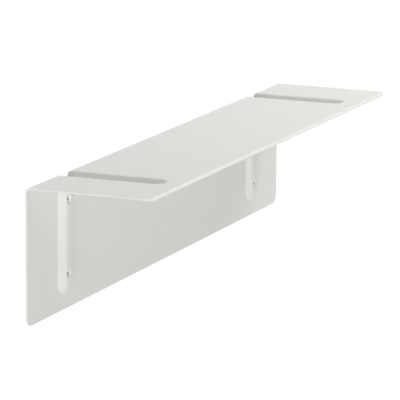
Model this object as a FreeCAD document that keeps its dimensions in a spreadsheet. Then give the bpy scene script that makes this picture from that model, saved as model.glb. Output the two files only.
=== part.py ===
import FreeCAD, Part

import math
import os

import Sketcher

# Wall shelf folded from one steel sheet, with its four screws and wall plugs.
# X runs along the shelf, +Y into the wall, +Z up. The wall is the plane Y = 0.
# The origin lies on it, midway between the four fixing holes.

doc = FreeCAD.newDocument("wall_shelf")

SIZES = {
    # folded sheet
    "shelf_length": 800,
    "shelf_depth": 160,
    "plate_height": 168,
    "sheet_thickness": 2,
    "bend_radius": 5.5,
    "lip_radius": 4,
    "corner_radius": 12,
    "corner_run_out": 0.8,
    "edge_rounding": 0.4,
    # stiffening beads pressed into the sheet, round the bend
    "bead_inset": 100,
    "bead_width": 35,
    "bead_crown_width": 6,
    "bead_depth": 8,
    "bead_lip_radius": 6,
    "bead_inner_bend": 6,
    "bead_front_margin": 22,
    "bead_bottom_margin": 19,
    # screw holes at the bottom of dimples in the beads
    "fixing_drop": 31.5,
    "fixing_spacing": 91,
    "hole_diameter": 4.5,
    "dimple_depth": 4,
    # countersunk screws
    "screw_diameter": 3.5,
    "screw_length": 40,
    "screw_shank_diameter": 2.5,
    "screw_plain_length": 12,
    "screw_tip_length": 4,
    "head_diameter": 7,
    "head_land": 0.3,
    "seat_clearance": 0.1,
    "thread_pitch": 1.8,
    "thread_depth": 0.5,
    "recess_diameter": 3.4,
    "recess_depth": 1.7,
    "recess_lobes": 6,
    "lobe_share": 0.3,
    "flute_share": 0.45,
    # wall plugs
    "plug_diameter": 6,
    "plug_length": 30,
    "plug_collar_diameter": 7.6,
    "plug_collar_thickness": 0.8,
    "plug_clearance": 0.1,
    "plug_slit_width": 1,
    "plug_slit_start": 8,
    "plug_nose_length": 3,
    "plug_groove_depth": 0.5,
    "plug_groove_pitch": 3,
    # how far cutting shapes run past what they cut
    "tool_overrun": 1,
}

sheet = doc.addObject("Spreadsheet::Sheet", "sizes")
for row, (alias, size) in enumerate(SIZES.items(), start=1):
    sheet.set("A%d" % row, alias)
    sheet.set("B%d" % row, str(size))
    sheet.setAlias("B%d" % row, alias)
doc.recompute()

# Places that several pieces share, as expressions on the sheet.
TOP = "(sizes.fixing_drop + sizes.fixing_spacing / 2)"
BOTTOM = "(%s - sizes.plate_height)" % TOP
BEAD_X = "(sizes.shelf_length / 2 - sizes.bead_inset)"
CROWN_Y = "(-sizes.bead_depth - sizes.sheet_thickness)"
HOLE_Y = "(%s + sizes.dimple_depth)" % CROWN_Y
HEAD_Y = ("(%s - (sizes.head_diameter - sizes.hole_diameter) / 2"
          " - sizes.head_land - sizes.seat_clearance)") % HOLE_Y

X_AXIS, Y_AXIS, Z_AXIS = (FreeCAD.Vector(1, 0, 0), FreeCAD.Vector(0, 1, 0), FreeCAD.Vector(0, 0, 1))
UPRIGHT = FreeCAD.Rotation(X_AXIS, 90)
SIDES = {"left": -1, "right": 1}
ROWS = {"upper": 1, "lower": -1}


def bind(item, settings):
    """Tie properties of an object to expressions on the sheet."""
    for name, text in settings.items():
        item.setExpression(name, text)
    return item


def number(text):
    """Value of an expression at the sheet's present sizes."""
    return float(sheet.evalExpression(text))


def draw(sketch, corners):
    """Draw a closed outline of fully dimensioned corners.

    A corner is (x, y, arc). The edge to the next corner is straight where arc is None,
    and otherwise an arc (radius, side), with its centre to the left (+1) or right (-1).
    """
    points = [FreeCAD.Vector(number(x), number(y), 0) for x, y, arc in corners]
    ends = []
    for index, (x, y, arc) in enumerate(corners):
        start, finish = points[index], points[(index + 1) % len(points)]
        if arc is None:
            edge = sketch.addGeometry(Part.LineSegment(start, finish))
            ends.append((edge, 1, 2))
            continue
        radius, side = arc
        chord = finish - start
        across = FreeCAD.Vector(-chord.y, chord.x, 0).normalize() * side
        size = number(radius)
        centre = (start + finish) / 2 + across * math.sqrt(size ** 2 - chord.Length ** 2 / 4)
        first, last = (start, finish) if side > 0 else (finish, start)
        angles = [math.atan2(p.y - centre.y, p.x - centre.x) for p in (first, last)]
        edge = sketch.addGeometry(Part.ArcOfCircle(Part.Circle(centre, Z_AXIS, size), *angles))
        ends.append((edge, 1, 2) if side > 0 else (edge, 2, 1))
        item = sketch.addConstraint(Sketcher.Constraint("Radius", edge, size))
        sketch.setExpression("Constraints[%d]" % item, radius)
    for index, (x, y, arc) in enumerate(corners):
        edge, first, last = ends[index]
        before, unused, joint = ends[index - 1]
        sketch.addConstraint(Sketcher.Constraint("Coincident", before, joint, edge, first))
        for kind, axis, text, value in (("DistanceX", -2, x, points[index].x),
                                        ("DistanceY", -1, y, points[index].y)):
            if text == "0":
                sketch.addConstraint(Sketcher.Constraint("PointOnObject", edge, first, axis))
                continue
            item = sketch.addConstraint(Sketcher.Constraint(kind, -1, 1, edge, first, value))
            sketch.setExpression("Constraints[%d]" % item, text)
    return sketch


def plane_of(body, role):
    return [item for item in body.Origin.OriginFeatures if item.Role == role][0]


def body_sketch(body, name, role, corners, offset=None):
    """Sketch on one of a body's own origin planes."""
    sketch = body.newObject("Sketcher::SketchObject", name)
    sketch.AttachmentSupport = (plane_of(body, role), [""])
    sketch.MapMode = "FlatFace"
    if offset:
        sketch.setExpression("AttachmentOffset.Base.z", offset)
    return draw(sketch, corners)


def free_sketch(name, corners, place, rotation=FreeCAD.Rotation()):
    """Sketch in the document, its origin at the expressions in place."""
    sketch = doc.addObject("Sketcher::SketchObject", name)
    sketch.Placement = FreeCAD.Placement(FreeCAD.Vector(), rotation)
    bind(sketch, {"Placement.Base." + axis: text for axis, text in place.items()})
    return draw(sketch, corners)


def edges_where(shape, test):
    return ["Edge%d" % index for index, edge in enumerate(shape.Edges, start=1) if test(edge)]


def folded_blank():
    """L-shaped sheet with its bend, rolled front edge, rounded free corners and soft edges."""
    body = doc.addObject("PartDesign::Body", "blank")
    inside = "sizes.bend_radius - sizes.sheet_thickness"
    front, under = "-sizes.shelf_depth", TOP + " - sizes.sheet_thickness"
    bend_y, bend_z = "-sizes.bend_radius", TOP + " - sizes.bend_radius"
    lip_y, lip_z = front + " + sizes.lip_radius", TOP + " - sizes.lip_radius"
    face = "-sizes.sheet_thickness"
    profile = body_sketch(body, "blank_profile", "YZ_Plane", [
        (front, lip_z, ("sizes.lip_radius", -1)),
        (lip_y, TOP, None),
        (bend_y, TOP, ("sizes.bend_radius", -1)),
        ("0", bend_z, None),
        ("0", BOTTOM, None),
        (face, BOTTOM, None),
        (face, bend_z, (inside, 1)),
        (bend_y, under, None),
        (lip_y, under, ("sizes.lip_radius - sizes.sheet_thickness", 1)),
        (front + " + sizes.sheet_thickness", lip_z, None),
    ])
    pad = body.newObject("PartDesign::Pad", "blank_pad")
    pad.Profile = profile
    pad.Midplane = True
    pad.setExpression("Length", "sizes.shelf_length")
    doc.recompute()

    # The front corners are cut in plan. Each arc runs out a little past the front, so
    # that it crosses the rolled edge instead of only touching it.
    end, over = "sizes.shelf_length / 2", "sizes.tool_overrun"
    arc_x, arc_y = end + " - sizes.corner_radius", front + " - sizes.corner_run_out"
    side_y, clear_y = arc_y + " + sizes.corner_radius", front + " - " + over
    nip = body.newObject("PartDesign::Pocket", "blank_front_corners")
    nip.Profile = body_sketch(body, "front_corners_outline", "XY_Plane", [
        ("-(%s) - %s" % (end, over), side_y, None),
        ("-(%s) - %s" % (end, over), clear_y, None),
        (end + " + " + over, clear_y, None),
        (end + " + " + over, side_y, None),
        (end, side_y, ("sizes.corner_radius", -1)),
        (arc_x, arc_y, None),
        ("-(%s)" % arc_x, arc_y, ("sizes.corner_radius", -1)),
        ("-(%s)" % end, side_y, None),
    ])
    nip.Midplane = True
    nip.setExpression("Length", "2 * (%s + %s)" % (TOP, over))
    doc.recompute()

    thickness, bottom = number("sizes.sheet_thickness"), number(BOTTOM)
    foot = number(lip_z)

    def is_bottom_corner(edge):
        return (abs(edge.Length - thickness) < 0.01
                and abs(edge.BoundBox.Center.z - bottom) < 0.01)

    corners = body.newObject("PartDesign::Fillet", "blank_bottom_corners")
    corners.Base = (nip, edges_where(nip.Shape, is_bottom_corner))
    corners.setExpression("Radius", "sizes.corner_radius")
    doc.recompute()

    def is_rim(edge):
        """Not one of the short corner edges or the lines where a bend begins."""
        lengthwise = abs(edge.BoundBox.XLength - edge.Length) < 0.01
        level = edge.BoundBox.Center.z
        free = abs(level - bottom) < 0.01 or abs(level - foot) < 0.01
        return edge.Length > thickness + 0.01 and (free or not lengthwise)

    rim = body.newObject("PartDesign::Fillet", "blank_rim")
    rim.Base = (corners, edges_where(corners.Shape, is_rim))
    rim.setExpression("Radius", "sizes.edge_rounding")
    body.Tip = rim
    return body


# A stiffening bead is a channel on the outside of the bend and a ridge on its inside.
# Each flank of its section is two arcs in an S, from the flat sheet to the flat crown,
# and S_RADII is the sum of their radii.
HALF_WIDTH = "(sizes.bead_width / 2)"
HALF_CROWN = "(sizes.bead_crown_width / 2)"
FLANK_WIDTH = "(%s - %s)" % (HALF_WIDTH, HALF_CROWN)
S_RADII = "((%s ^ 2 + sizes.bead_depth ^ 2) / (2 * sizes.bead_depth))" % FLANK_WIDTH
TIP_Y = "(-sizes.shelf_depth + sizes.bead_front_margin + sizes.bead_width / 2)"
TIP_Z = "(%s + sizes.bead_bottom_margin + sizes.bead_width / 2)" % BOTTOM


def bead_solid(name, skin, closing):
    """Solid that follows one skin of the bead, the right-hand one of the pair.

    skin is the depth of that skin below the outside of the flat sheet, and closing is
    the level at which the solid is closed: inside the sheet, or clear above it.
    """
    lip = "(sizes.bead_lip_radius - %s)" % skin
    crown = "(%s - %s)" % (S_RADII, lip)
    join_x = "(%s - %s * %s / %s)" % (HALF_WIDTH, lip, FLANK_WIDTH, S_RADII)
    join_depth = "(-%s - %s * sizes.bead_depth / %s)" % (skin, lip, S_RADII)
    deepest = "(-sizes.bead_depth - %s)" % skin
    bend = "sizes.bend_radius"
    wide_bend = "(sizes.bead_depth + sizes.sheet_thickness + sizes.bead_inner_bend)"

    def minus(text):
        return "-" + text

    right_flank = [
        (HALF_WIDTH, closing, None),
        (HALF_WIDTH, minus(skin), (lip, 1)),
    ]
    left_flank = [
        (minus(join_x), join_depth, (lip, 1)),
        (minus(HALF_WIDTH), minus(skin), None),
        (minus(HALF_WIDTH), closing, None),
    ]
    right_crown = [
        (join_x, join_depth, (crown, -1)),
        (HALF_CROWN, deepest, None),
    ]
    left_crown = [(minus(HALF_CROWN), deepest, (crown, -1))]
    whole = right_flank + right_crown + left_crown + left_flank
    half = [("0", closing, None)] + right_flank + right_crown + [("0", deepest, None)]
    to_axis = right_flank + [
        (join_x, join_depth, None),
        (join_x, minus(bend), None),
        (minus(join_x), minus(bend), None),
    ] + left_flank
    trough = [(join_x, closing, None)] + right_crown + left_crown + [
        (minus(join_x), join_depth, None),
        (minus(join_x), closing, None),
    ]

    def extrude(part, corners, place, rotation, direction, length):
        item = doc.addObject("Part::Extrusion", name + part)
        item.Base = free_sketch(name + part + "_section", corners, place, rotation)
        item.DirMode = "Custom"
        item.Dir = direction
        item.Solid = True
        return bind(item, {"LengthFwd": length})

    def revolve(part, corners, place, rotation, axis, angle, base=None):
        item = doc.addObject("Part::Revolution", name + part)
        item.Source = free_sketch(name + part + "_section", corners, place, rotation)
        item.Axis = axis
        item.Angle = angle
        item.Solid = True
        return bind(item, {"Base." + key: text for key, text in (base or place).items()})

    flat = FreeCAD.Rotation()
    shelf_tip = {"x": BEAD_X, "y": TIP_Y, "z": TOP}
    plate_tip = {"x": BEAD_X, "y": "0", "z": TIP_Z}
    pieces = [
        extrude("_shelf", whole, shelf_tip, UPRIGHT, Y_AXIS, "-%s - %s" % (TIP_Y, bend)),
        extrude("_plate", whole, plate_tip, flat, Z_AXIS, "%s - %s - %s" % (TOP, bend, TIP_Z)),
        revolve("_shelf_end", half, shelf_tip, UPRIGHT, -Z_AXIS, 180),
        revolve("_plate_end", half, plate_tip, flat, Y_AXIS, 180),
    ]
    for part, corners, radius in (("_bend", to_axis, bend), ("_crown", trough, wide_bend)):
        start = {"x": BEAD_X, "y": minus(radius), "z": TOP}
        axis = {"x": BEAD_X, "y": minus(radius), "z": "%s - %s" % (TOP, radius)}
        pieces.append(revolve(part, corners, start, UPRIGHT, -X_AXIS, 90, axis))

    joined = doc.addObject("Part::MultiFuse", name)
    joined.Shapes = pieces
    joined.Refine = True
    return joined


def mirrored(solid):
    """Copy of a right-hand solid on the left."""
    item = doc.addObject("Part::Mirroring", solid.Name + "_left")
    item.Source = solid
    item.Normal = X_AXIS
    return item


def cone(name, front_y, back_y, front_radius, back_radius, place):
    """Cone along Y between two faces of the given radii."""
    item = doc.addObject("Part::Cone", name)
    item.Placement = FreeCAD.Placement(FreeCAD.Vector(), FreeCAD.Rotation(X_AXIS, -90))
    return bind(item, {
        "Radius1": front_radius,
        "Radius2": back_radius,
        "Height": "(%s) - (%s)" % (back_y, front_y),
        "Placement.Base.x": place["x"],
        "Placement.Base.y": front_y,
        "Placement.Base.z": place["z"],
    })


def dimple_tools(name, place):
    """Tools for a dimple pressed in a bead's crown, with a screw hole at its bottom.

    The boss is what stays of the channel's filling behind the dimple, and the sink and
    the drill are cut from the front.
    """
    over = "sizes.tool_overrun"
    hole = "(sizes.hole_diameter / 2)"
    rear_y = "(%s + sizes.sheet_thickness)" % HOLE_Y
    # The sheet keeps its thickness along the 45 degree cone, so its back face is a cone
    # set off by the thickness times the square root of 2.
    rear_radius = "(%s + sizes.sheet_thickness * (sqrt(2) - 1))" % hole
    front_y = "(%s - %s)" % (CROWN_Y, over)
    boss = cone(name + "_boss", CROWN_Y, rear_y,
                "%s + %s - %s" % (rear_radius, rear_y, CROWN_Y), rear_radius, place)
    sink = cone(name + "_sink", front_y, HOLE_Y,
                "%s + %s - %s" % (hole, HOLE_Y, front_y), hole, place)
    drill = cone(name + "_drill", HOLE_Y + " - " + over, rear_y + " + " + over, hole, hole, place)
    return boss, [sink, drill]


def folded_sheet(fixings):
    blank = folded_blank()
    ridge = bead_solid("ridge", "sizes.sheet_thickness", "(-sizes.sheet_thickness / 4)")
    channel = bead_solid("channel", "0", "sizes.tool_overrun")

    stock = doc.addObject("Part::MultiFuse", "beaded_blank")
    stock.Shapes = [blank, ridge, mirrored(ridge)]
    bosses, cutters = [], []
    for name, place in fixings.items():
        boss, front_cutters = dimple_tools("dimple_" + name, place)
        bosses.append(boss)
        cutters += front_cutters
    boss_group = doc.addObject("Part::MultiFuse", "dimple_bosses")
    boss_group.Shapes = bosses
    channels = doc.addObject("Part::MultiFuse", "channels")
    channels.Shapes = [channel, mirrored(channel)]
    hollow = doc.addObject("Part::Cut", "channels_round_dimples")
    hollow.Base, hollow.Tool = channels, boss_group
    shell = doc.addObject("Part::Cut", "beaded_sheet")
    shell.Base, shell.Tool = stock, hollow
    shell.Refine = True
    front_group = doc.addObject("Part::MultiFuse", "dimple_cutters")
    front_group.Shapes = cutters
    sheet_metal = doc.addObject("Part::Cut", "drilled_sheet")
    sheet_metal.Base, sheet_metal.Tool = shell, front_group
    sheet_metal.Label = "folded_sheet"
    return sheet_metal


def revolved_body(name, corners, place):
    """Body turned about its own Y axis, which lies along a fixing hole."""
    body = doc.addObject("PartDesign::Body", name)
    body.Label = name
    bind(body, {"Placement.Base." + axis: text for axis, text in place.items()})
    turned = body.newObject("PartDesign::Revolution", name + "_turned")
    turned.Profile = body_sketch(body, name + "_profile", "XY_Plane", corners)
    turned.ReferenceAxis = (turned.Profile[0], ["V_Axis"])
    turned.Angle = 360
    doc.recompute()
    return body


def pocket(body, name, corners, depth, start="0"):
    """Pocket sunk along +Y, from the given distance behind the body's front plane."""
    before = body.Shape.Volume
    item = body.newObject("PartDesign::Pocket", name)
    item.Profile = body_sketch(body, name + "_outline", "XZ_Plane", corners, "-" + start)
    bind(item, {"Length": depth})
    body.Tip = item
    doc.recompute()
    if item.Shape.Volume >= before:
        raise RuntimeError(name + " cuts nothing")


def repeated_groove(body, name, corners, pitch, count):
    """Ring cut round the body, repeated along it."""
    ring = body.newObject("PartDesign::Groove", name)
    ring.Profile = body_sketch(body, name + "_profile", "XY_Plane", corners)
    ring.ReferenceAxis = (ring.Profile[0], ["V_Axis"])
    ring.Angle = 360
    doc.recompute()
    pattern = body.newObject("PartDesign::LinearPattern", name + "_pattern")
    pattern.Originals = [ring]
    pattern.Direction = (ring.Profile[0], ["V_Axis"])
    bind(pattern, {"Occurrences": count, "Length": "%s * (%s - 1)" % (pitch, count)})
    body.Tip = pattern
    doc.recompute()


def lobed_outline():
    """Corners of a star recess: lobes joined by flutes, through points on one circle."""
    radius = "(sizes.recess_diameter / 2)"
    lobe, flute = (radius + " * sizes.lobe_share", 1), (radius + " * sizes.flute_share", -1)
    points = 2 * int(number("sizes.recess_lobes"))
    outline = []
    for step in range(points):
        angle = 360 * (step - 0.5) / points
        arc = flute if step % 2 else lobe
        outline.append(("%s * cos(%g)" % (radius, angle), "%s * sin(%g)" % (radius, angle), arc))
    return outline


def wall_screw(name, place):
    head, shank = "(sizes.head_diameter / 2)", "(sizes.screw_shank_diameter / 2)"
    thread = "(sizes.screw_diameter / 2)"
    cone_end = "(sizes.head_land + %s - %s)" % (head, shank)
    tip_start = "(sizes.screw_length - sizes.screw_tip_length)"
    body = revolved_body(name, [
        ("0", "0", None),
        (head, "0", None),
        (head, "sizes.head_land", None),
        (shank, cone_end, None),
        (shank, "sizes.screw_plain_length", None),
        (thread, "sizes.screw_plain_length + sizes.thread_depth", None),
        (thread, tip_start, None),
        ("0", "sizes.screw_length", None),
    ], dict(place, y=HEAD_Y))
    start = "(sizes.screw_plain_length + sizes.thread_pitch)"
    root = "(%s - sizes.thread_depth)" % thread
    over = "(%s + sizes.tool_overrun)" % thread
    gap = "(sizes.thread_pitch / 4)"
    flank = "(sizes.thread_depth + sizes.tool_overrun) / 2"
    count = "floor((%s - %s) / sizes.thread_pitch)" % (tip_start, start)
    thread_ring = [
        (root, "%s - %s / 2" % (start, gap), None),
        (over, "%s - %s / 2 - %s" % (start, gap, flank), None),
        (over, "%s + %s / 2 + %s" % (start, gap, flank), None),
        (root, "%s + %s / 2" % (start, gap), None),
    ]
    repeated_groove(body, name + "_thread", thread_ring, "sizes.thread_pitch", count)
    pocket(body, name + "_recess", lobed_outline(), "sizes.recess_depth")
    return body


def wall_plug(name, place):
    bore = "(sizes.screw_diameter / 2 + sizes.plug_clearance)"
    outside, collar = "(sizes.plug_diameter / 2)", "(sizes.plug_collar_diameter / 2)"
    collar_front = "-sizes.plug_collar_thickness"
    nose = "(sizes.plug_length - sizes.plug_nose_length)"
    body = revolved_body(name, [
        (bore, collar_front, None),
        (collar, collar_front, None),
        (collar, "0", None),
        (outside, "0", None),
        (outside, nose, None),
        ("(%s + %s) / 2" % (outside, bore), "sizes.plug_length", None),
        (bore, "sizes.plug_length", None),
    ], dict(place, y="0 * sizes.plug_length"))
    start = "(sizes.plug_slit_start + sizes.plug_groove_pitch)"
    root = "(%s - sizes.plug_groove_depth)" % outside
    over = "(%s + sizes.tool_overrun)" % outside
    # Barbs: each ring is square behind and slopes in towards the nose.
    slope = "(2 * (sizes.plug_groove_depth + sizes.tool_overrun))"
    barb = [
        (root, start, None),
        (over, start, None),
        (over, "%s + %s" % (start, slope), None),
    ]
    count = "floor((%s - %s) / sizes.plug_groove_pitch)" % (nose, start)
    repeated_groove(body, name + "_barbs", barb, "sizes.plug_groove_pitch", count)
    side, reach = "(sizes.plug_slit_width / 2)", "sizes.plug_diameter"
    slit = [
        ("-" + side, "-" + reach, None),
        (side, "-" + reach, None),
        (side, reach, None),
        ("-" + side, reach, None),
    ]
    pocket(body, name + "_slit", slit, "sizes.plug_length", "sizes.plug_slit_start")
    return body


FIXINGS = {
    "%s_%s" % (row, side): {
        "x": "%d * %s" % (side_sign, BEAD_X),
        "z": "%d * sizes.fixing_spacing / 2" % row_sign,
    }
    for row, row_sign in ROWS.items()
    for side, side_sign in SIDES.items()
}

pieces = [folded_sheet(FIXINGS)]
for name, place in FIXINGS.items():
    pieces.append(wall_screw("wall_screw_" + name, place))
    pieces.append(wall_plug("wall_plug_" + name, place))
doc.recompute()

for item in doc.Objects:
    if "Invalid" in item.State or "Error" in item.State:
        raise RuntimeError("%s did not recompute: %s" % (item.Name, item.State))
for item in pieces:
    if item.Shape.isNull() or not item.Shape.isValid():
        raise RuntimeError(item.Label + " has no valid shape")

os.makedirs("parts", exist_ok=True)
for item in pieces:
    item.Shape.exportStep("parts/%s.step" % item.Label)
    print("%s: %.1f cm3, %d faces" % (item.Label, item.Shape.Volume / 1000, len(item.Shape.Faces)))
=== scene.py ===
import math

import bpy
from mathutils import Matrix, Vector


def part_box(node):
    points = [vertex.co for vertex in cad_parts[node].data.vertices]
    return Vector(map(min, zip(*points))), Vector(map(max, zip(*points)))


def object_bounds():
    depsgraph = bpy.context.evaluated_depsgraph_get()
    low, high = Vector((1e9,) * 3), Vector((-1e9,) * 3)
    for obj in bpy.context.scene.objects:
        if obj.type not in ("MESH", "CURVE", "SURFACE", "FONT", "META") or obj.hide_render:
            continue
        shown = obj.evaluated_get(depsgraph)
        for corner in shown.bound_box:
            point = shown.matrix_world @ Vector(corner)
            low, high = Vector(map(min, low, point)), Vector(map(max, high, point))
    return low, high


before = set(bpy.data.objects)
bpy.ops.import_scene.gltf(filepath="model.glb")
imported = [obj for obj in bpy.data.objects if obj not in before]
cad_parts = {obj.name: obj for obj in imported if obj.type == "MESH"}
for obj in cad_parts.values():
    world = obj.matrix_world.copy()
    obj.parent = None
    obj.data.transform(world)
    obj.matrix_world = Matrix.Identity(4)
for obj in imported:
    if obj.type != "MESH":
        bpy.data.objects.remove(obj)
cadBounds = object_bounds()
print("frame loaded:", len(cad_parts), "pieces")


# A value of a node tree that can stand in a sum: each operator adds its Math node.
class Signal:
    def __init__(self, tree, socket):
        self.tree = tree
        self.socket = socket

    def math(self, operation, *values):
        return self.tree.node("ShaderNodeMath", {"operation": operation}, dict(enumerate(values)))

    def __add__(self, other):
        return self.math("ADD", self, other)

    def __sub__(self, other):
        return self.math("SUBTRACT", self, other)

    def __rsub__(self, other):
        return self.math("SUBTRACT", other, self)

    def __mul__(self, other):
        return self.math("MULTIPLY", self, other)

    __radd__ = __add__
    __rmul__ = __mul__

    def size(self):
        return self.math("ABSOLUTE", self)

    def root(self):
        return self.math("SQRT", self)

    def rise(self, low, high):  # 0 below low, 1 above high, smooth between
        inputs = {"Value": self, "From Min": low, "From Max": high}
        return self.tree.node("ShaderNodeMapRange", {"interpolation_type": "SMOOTHSTEP"}, inputs)


class Tree:
    def __init__(self, owner):
        owner.use_nodes = True
        self.nodes = owner.node_tree.nodes
        self.links = owner.node_tree.links

    def feed(self, socket, value):
        if isinstance(value, Signal):
            self.links.new(value.socket, socket)
        else:
            socket.default_value = value

    def node(self, kind, settings, inputs, output=0):
        item = self.nodes.new(kind)
        for name, value in settings.items():
            setattr(item, name, value)
        for name, value in inputs.items():
            self.feed(item.inputs[name], value)
        return Signal(self, item.outputs[output])

    def split(self, vector):
        node = self.node("ShaderNodeSeparateXYZ", {}, {"Vector": vector}).socket.node
        return [Signal(self, socket) for socket in node.outputs]

    def blend(self, share, first, second):  # of two colours, in the Mix node's sockets 6 and 7
        inputs = {"Factor": share, 6: first, 7: second}
        return self.node("ShaderNodeMix", {"data_type": "RGBA"}, inputs, 2)

    def noise(self, place, featureSize, detail=2.0):
        inputs = {"Vector": place, "Scale": 1 / featureSize, "Detail": detail}
        return self.node("ShaderNodeTexNoise", {}, inputs)

    def bump(self, height, depth, below=None):
        inputs = {"Height": height, "Distance": depth, "Strength": 1.0}
        if below is not None:
            inputs["Normal"] = below
        return self.node("ShaderNodeBump", {}, inputs)


def opaque(colour):
    return (*colour, 1.0)


def newFinish(name):
    material = bpy.data.materials.new(name)
    tree = Tree(material)
    return material, tree, tree.node("ShaderNodeTexCoord", {}, {}, "Object")


def dress(tree, surface):
    shader = tree.nodes["Principled BSDF"]
    for socketName, value in surface.items():
        tree.feed(shader.inputs[socketName], value)


def coat(nodeName, material):
    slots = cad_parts[nodeName].data.materials
    slots.clear()
    slots.append(material)


powderCoat = {
    "refraction": 1.5,
    "colour": (0.698, 0.706, 0.677),
    "warmer": (0.706, 0.706, 0.670),
    "shadeSize": 0.21,  # the two shades drift into each other over this distance
    "shadeDetail": 3.0,
    "shadeEnds": (0.35, 0.65),
    "roughness": 0.45,
    "roughnessSpread": 0.05,
    "smudge": 0.035,  # broad, faint patches that hands have left a little duller
    "smudgeSize": 0.045,
    "smudgeDetail": 4.0,
    "smudgeEnds": (0.45, 0.7),
    "peelSize": 0.0026,  # the coat's orange peel
    "peelDepth": 0.000010,
    "grainSize": 0.0005,
    "grainDepth": 0.000004,
}


def powderCoatFinish(settings):
    material, tree, place = newFinish("powderCoat")
    shade = tree.noise(place, settings["shadeSize"], settings["shadeDetail"])
    peel = tree.noise(place, settings["peelSize"])
    grain = tree.noise(place, settings["grainSize"])
    smudges = tree.noise(place, settings["smudgeSize"], settings["smudgeDetail"])
    colour, warmer = opaque(settings["colour"]), opaque(settings["warmer"])
    tint = tree.blend(shade.rise(*settings["shadeEnds"]), colour, warmer)
    rough = settings["roughness"] + smudges.rise(*settings["smudgeEnds"]) * settings["smudge"]
    rough = rough + (grain - 0.5) * settings["roughnessSpread"]  # noise centres on 0.5
    normal = tree.bump(peel, settings["peelDepth"])
    normal = tree.bump(grain, settings["grainDepth"], normal)
    surface = {"Base Color": tint, "Roughness": rough, "Normal": normal}
    dress(tree, {"IOR": settings["refraction"], **surface})
    return material


coat("folded_sheet", powderCoatFinish(powderCoat))

screwSteel = {
    "refraction": 1.5,
    "zinc": (0.62, 0.64, 0.66),
    "duller": (0.50, 0.53, 0.56),
    "blotchSize": 0.004,
    "blotchDetail": 3.0,
    "blotchEnds": (0.35, 0.7),
    "roughness": 0.30,
    "roughnessSpread": 0.18,
    "ringSize": 0.0003,  # fine rings left by the lathe
    "ringDepth": 0.000006,
    "ringWobble": 0.4,
    "lacquer": powderCoat["colour"],  # the heads are lacquered like the sheet
    "lacquerRoughness": 0.42,
    "lacquerEnds": (0.00054, 0.0009),  # it thins out between these depths behind the head's front
    # painted shade: a near-black, non-metallic colour in the drive recess stands in for the shade
    # inside the hollow
    "recess": (0.018, 0.019, 0.018),
    "recessRadius": (0.00178, 0.0019),  # painted shade over the star and a thin rim round it
    "recessDepth": (0.0017, 0.0018),
}
bandPeriod = 0.314  # a wave texture of scale 1 repeats after this distance


def screwFinish(settings):
    material, tree, place = newFinish("screwSteel")
    x, y, z = tree.split(place)
    low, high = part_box("wall_screw_upper_right")
    across = x.size() - (low.x + high.x) / 2  # the four screws mirror one another
    down = z.size() - (low.z + high.z) / 2
    radius = (across * across + down * down).root()
    front = 1 - y.rise(*(low.y + depth for depth in settings["lacquerEnds"]))
    # mask of the painted shade: the recess and a thin rim round the star, to a little past the
    # recess's depth
    paintedShadeShallow = 1 - y.rise(*(low.y + depth for depth in settings["recessDepth"]))
    paintedRecessShadeMask = (1 - radius.rise(*settings["recessRadius"])) * paintedShadeShallow
    blotch = tree.noise(place, settings["blotchSize"], settings["blotchDetail"])
    bands = {"wave_type": "BANDS", "bands_direction": "Y"}
    ringScale = bandPeriod / settings["ringSize"]
    ringInputs = {"Vector": place, "Scale": ringScale, "Distortion": settings["ringWobble"]}
    rings = tree.node("ShaderNodeTexWave", bands, ringInputs, 1)
    speckle = tree.noise(place, powderCoat["grainSize"])
    zinc, duller = opaque(settings["zinc"]), opaque(settings["duller"])
    bare = tree.blend(blotch.rise(*settings["blotchEnds"]), zinc, duller)
    painted = tree.blend(front, bare, opaque(settings["lacquer"]))
    # painted shade laid over the recess and its rim
    colour = tree.blend(paintedRecessShadeMask, painted, opaque(settings["recess"]))
    bareRough = settings["roughness"] + blotch * settings["roughnessSpread"]
    rough = bareRough + front * (settings["lacquerRoughness"] - bareRough)
    normal = tree.bump(rings * (1 - front), settings["ringDepth"])
    normal = tree.bump(speckle * front, powderCoat["grainDepth"], normal)
    # no metal where the recess shade is painted
    metal = (1 - front) * (1 - paintedRecessShadeMask)
    surface = {"Base Color": colour, "Metallic": metal, "Roughness": rough, "Normal": normal}
    dress(tree, {"IOR": settings["refraction"], **surface})
    return material


plugNylon = {
    "refraction": 1.53,
    "colour": (0.44, 0.45, 0.46),
    "paler": (0.52, 0.53, 0.53),
    "flowSize": (0.006, 0.03, 0.006),  # streaks along the plug, from moulding
    "flowDetail": 3.0,
    "flowEnds": (0.3, 0.7),
    "roughness": 0.46,
    "roughnessSpread": 0.16,
    "sparkSize": 0.00035,  # the grain of a spark-eroded mould
    "sparkDepth": 0.000012,
}


def nylonFinish(settings):
    material, tree, place = newFinish("nylon")
    stretch = {0: place, 1: settings["flowSize"]}
    along = tree.node("ShaderNodeVectorMath", {"operation": "DIVIDE"}, stretch)
    flow = tree.noise(along, 1.0, settings["flowDetail"])
    spark = tree.noise(place, settings["sparkSize"])
    colour, paler = opaque(settings["colour"]), opaque(settings["paler"])
    tint = tree.blend(flow.rise(*settings["flowEnds"]), colour, paler)
    rough = settings["roughness"] + (spark - 0.5) * settings["roughnessSpread"]
    normal = tree.bump(spark, settings["sparkDepth"])
    surface = {"Base Color": tint, "Roughness": rough, "Normal": normal}
    dress(tree, {"IOR": settings["refraction"], **surface})
    return material


lacqueredSteel = screwFinish(screwSteel)
nylon = nylonFinish(plugNylon)
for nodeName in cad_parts:
    if nodeName.startswith("wall_screw"):
        coat(nodeName, lacqueredSteel)
    elif nodeName.startswith("wall_plug"):
        coat(nodeName, nylon)
print("finishes done")

floor = {
    "drop": 1.2,  # below the lowest point of the shelf
    "reach": 6.0,
    "colour": (0.80, 0.80, 0.80),
    "glow": 0.66,  # only for rays that see it directly, which with the lamps' light makes it white
    "fadeEnds": (1.2, 3.0),  # it fades into the white world between these distances from the origin
}


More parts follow.
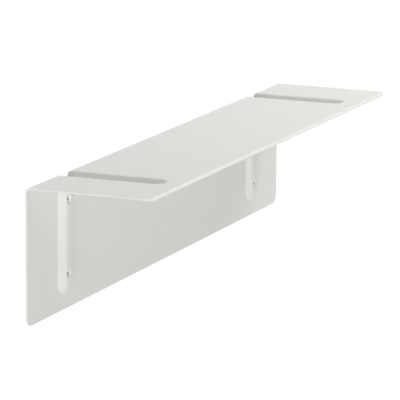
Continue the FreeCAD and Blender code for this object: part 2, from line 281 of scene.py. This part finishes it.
def seenDirectly(tree):  # 1 for rays that show the background as it looks
    straight = tree.node("ShaderNodeLightPath", {}, {}, "Is Camera Ray")
    rays = straight.socket.node.outputs
    glossy = Signal(tree, rays["Is Glossy Ray"])
    through = Signal(tree, rays["Is Transmission Ray"])
    return straight.math("MAXIMUM", straight.math("MAXIMUM", straight, glossy), through)


def layFloor(settings):
    reach = settings["reach"]
    level = cadBounds[0][2] - settings["drop"]
    mesh = bpy.data.meshes.new("floor")
    quarters = ((-1, -1), (1, -1), (1, 1), (-1, 1))
    corners = [(reach * x, reach * y, level) for x, y in quarters]
    mesh.from_pydata(corners, [], [(0, 1, 2, 3)])
    plane = bpy.data.objects.new("floor", mesh)
    bpy.context.scene.collection.objects.link(plane)
    material = bpy.data.materials.new("paleFloor")
    tree = Tree(material)
    tree.nodes.remove(tree.nodes["Principled BSDF"])
    plain = tree.node("ShaderNodeBsdfDiffuse", {}, {"Color": opaque(settings["colour"])})
    glow = tree.node("ShaderNodeEmission", {}, {"Strength": seenDirectly(tree) * settings["glow"]})
    lit = tree.node("ShaderNodeAddShader", {}, {0: plain, 1: glow})
    place = tree.node("ShaderNodeTexCoord", {}, {}, "Object")
    distance = tree.node("ShaderNodeVectorMath", {"operation": "LENGTH"}, {0: place}, "Value")
    far = distance.rise(*settings["fadeEnds"])
    under = tree.node("ShaderNodeNewGeometry", {}, {}, "Backfacing")
    clear = tree.node("ShaderNodeBsdfTransparent", {}, {})
    hidden = far.math("MAXIMUM", far, under)
    surface = tree.node("ShaderNodeMixShader", {}, {"Fac": hidden, 1: lit, 2: clear})
    tree.feed(tree.nodes["Material Output"].inputs["Surface"], surface)
    mesh.materials.append(material)


layFloor(floor)

backdrop = {
    "colour": (1.0, 1.0, 1.0),
    "ambient": 0.153,  # what lights the shelf, as a share of what is seen
}


def paintWorld(settings):
    world = bpy.data.worlds.new("studio")
    bpy.context.scene.world = world
    tree = Tree(world)
    seen = seenDirectly(tree)
    strength = seen + (1 - seen) * settings["ambient"]
    tree.nodes["Background"].inputs["Color"].default_value = opaque(settings["colour"])
    tree.feed(tree.nodes["Background"].inputs["Strength"], strength)


paintWorld(backdrop)
print("floor and backdrop done")

lamps = {  # azimuth from the shelf's front (-Y) towards +X, in degrees
    "endSoftbox": {"azimuth": 67, "elevation": 45, "distance": 2.4, "size": 1.2, "power": 29.9},
    "topSoftbox": {"azimuth": 0, "elevation": 60, "distance": 2.4, "size": 1.6, "power": 15.4},
    "rearSoftbox": {"azimuth": 225, "elevation": 45, "distance": 2.4, "size": 1.6, "power": 14.8},
    "sideSoftbox": {"azimuth": 45, "elevation": 15, "distance": 2.4, "size": 1.6, "power": 5.6},
    "lowFrontFill": {"azimuth": 0, "elevation": -22, "distance": 2.2, "size": 1.0, "power": 17.7},
    "lowLeftFill": {"azimuth": 285, "elevation": -6, "distance": 2.2, "size": 1.0, "power": 21.9},
    "lowRearFill": {"azimuth": 240, "elevation": -22, "distance": 2.2, "size": 1.0, "power": 8.4},
}


def hangLamp(name, settings):
    turn, rise = math.radians(settings["azimuth"]), math.radians(settings["elevation"])
    away = Vector((math.sin(turn) * math.cos(rise), -math.cos(turn) * math.cos(rise), math.sin(rise)))
    low, high = cadBounds
    middle = (Vector(low) + Vector(high)) / 2
    data = bpy.data.lights.new(name, "AREA")
    data.shape = "DISK"
    data.size = settings["size"]
    data.energy = settings["power"]
    lamp = bpy.data.objects.new(name, data)
    facing = away.to_track_quat("Z", "Y").to_matrix().to_4x4()
    lamp.matrix_world = Matrix.Translation(middle + away * settings["distance"]) @ facing
    lamp.visible_camera = False
    bpy.context.scene.collection.objects.link(lamp)


for name, settings in lamps.items():
    hangLamp(name, settings)
print("lamps done")

camera = {
    "place": (-3.7324, -1.6128, 0.8342),
    "heading": 67.33,  # degrees from +Y towards +X
    "tilt": 11.765,  # degrees below the horizon
    "roll": 0.478,
    "lens": 291.15,
    "sensor": 36.0,
    "farthest": 50,
}


def aimCamera(settings):
    heading, tilt, roll = (math.radians(settings[key]) for key in ("heading", "tilt", "roll"))
    ahead = Vector((math.sin(heading), math.cos(heading), 0))
    forward = ahead * math.cos(tilt) - Vector((0, 0, math.sin(tilt)))
    level = Vector((math.cos(heading), -math.sin(heading), 0))
    right = Matrix.Rotation(-roll, 3, forward) @ level
    up = right.cross(forward)
    turn = Matrix((right, up, -forward)).transposed()
    data = bpy.data.cameras.new("camera")
    data.lens, data.sensor_width = settings["lens"], settings["sensor"]
    data.clip_end = settings["farthest"]
    view = bpy.data.objects.new("camera", data)
    view.matrix_world = Matrix.Translation(settings["place"]) @ turn.to_4x4()
    bpy.context.scene.collection.objects.link(view)
    bpy.context.scene.camera = view


aimCamera(camera)
print("camera done")
bpy.context.scene.view_settings.view_transform = "Standard"
